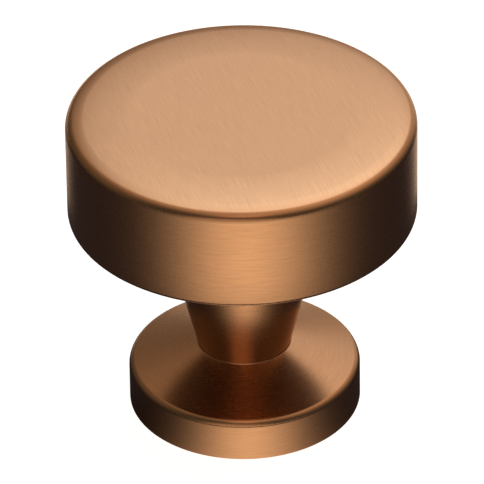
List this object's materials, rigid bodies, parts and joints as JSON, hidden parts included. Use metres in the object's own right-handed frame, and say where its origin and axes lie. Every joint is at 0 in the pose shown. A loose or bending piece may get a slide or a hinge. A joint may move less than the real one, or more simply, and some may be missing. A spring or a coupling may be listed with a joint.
{
  "type": "cabinet knob",
  "caption": "Round cabinet knob: thick disc head with rounded edge on a cone stem and round foot, tapped from the back for a machine screw, brushed bronze finish.",
  "frame": {"origin": "centre of the flat back of the foot, at the mouth of the fixing hole", "axes": "+Z along the turning axis, from the back to the face of the head; X and Y are free, as the knob is round"},
  "size_m": [0.032, 0.032, 0.031],
  "materials": {
    "brushed_bronze": "brushed"
  },
  "bodies": {
    "root": {"knob": "brushed_bronze"}
  },
  "joints": []
}
